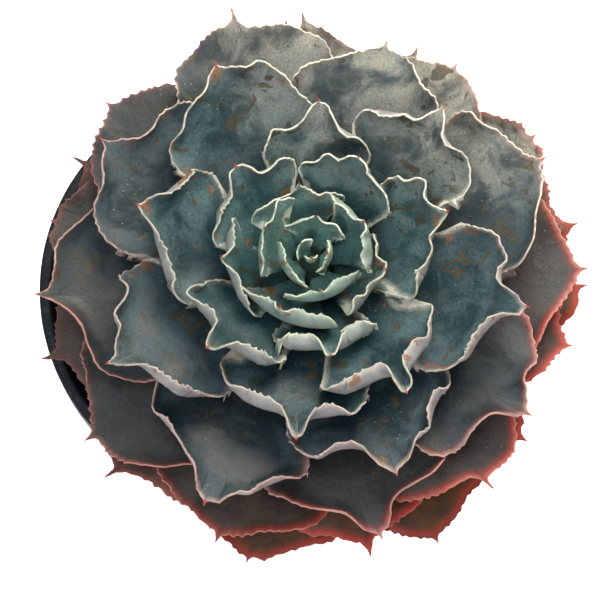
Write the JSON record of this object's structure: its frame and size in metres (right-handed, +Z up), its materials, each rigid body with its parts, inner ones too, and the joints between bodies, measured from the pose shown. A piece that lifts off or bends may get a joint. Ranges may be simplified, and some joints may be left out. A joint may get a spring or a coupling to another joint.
{
  "type": "potted succulent",
  "caption": "Wide echeveria rosette of broad, ruffled, pointed leaves, blue-green at the heart and wine red underneath, on a short stem in soil in a round dark plastic pot.",
  "frame": {"origin": "centre of the pot's underside, on its flat centre pad", "axes": "+Z up along the pot's axis; the plant stands off-centre towards +X and a little towards -Y"},
  "size_m": [0.214, 0.2166, 0.2011],
  "materials": {
    "pot_plastic": "satin",
    "soil_mix": "matte",
    "stem_bark": "matte",
    "leaf_heart": "matte",
    "leaf_middle": "matte",
    "leaf_outer": "matte",
    "leaf_lowest": "matte"
  },
  "bodies": {
    "root": {"pot": "pot_plastic", "soil": "soil_mix", "stem": "stem_bark", "leaf_01": "leaf_heart", "leaf_02": "leaf_heart", "leaf_03": "leaf_heart", "leaf_04": "leaf_heart", "leaf_05": "leaf_heart", "leaf_06": "leaf_heart", "leaf_07": "leaf_heart", "leaf_08": "leaf_heart", "leaf_09": "leaf_heart", "leaf_10": "leaf_heart", "leaf_11": "leaf_heart", "leaf_12": "leaf_heart", "leaf_13": "leaf_heart", "leaf_14": "leaf_heart", "leaf_15": "leaf_heart", "leaf_16": "leaf_heart", "leaf_17": "leaf_middle", "leaf_18": "leaf_middle", "leaf_19": "leaf_middle", "leaf_20": "leaf_middle", "leaf_21": "leaf_middle", "leaf_22": "leaf_middle", "leaf_23": "leaf_middle", "leaf_24": "leaf_middle", "leaf_25": "leaf_middle", "leaf_26": "leaf_middle", "leaf_27": "leaf_middle", "leaf_28": "leaf_middle", "leaf_29": "leaf_middle", "leaf_30": "leaf_middle", "leaf_31": "leaf_middle", "leaf_32": "leaf_outer", "leaf_33": "leaf_outer", "leaf_34": "leaf_outer", "leaf_35": "leaf_outer", "leaf_36": "leaf_outer", "leaf_37": "leaf_outer", "leaf_38": "leaf_outer", "leaf_39": "leaf_outer", "leaf_40": "leaf_outer", "leaf_41": "leaf_outer", "leaf_42": "leaf_outer", "leaf_43": "leaf_outer", "leaf_44": "leaf_outer", "leaf_45": "leaf_outer", "leaf_46": "leaf_outer", "leaf_47": "leaf_lowest", "leaf_48": "leaf_lowest", "leaf_49": "leaf_lowest", "leaf_50": "leaf_lowest", "leaf_51": "leaf_lowest", "leaf_52": "leaf_lowest", "leaf_53": "leaf_lowest", "leaf_54": "leaf_lowest", "leaf_55": "leaf_lowest", "leaf_56": "leaf_lowest", "leaf_57": "leaf_lowest"}
  },
  "joints": []
}
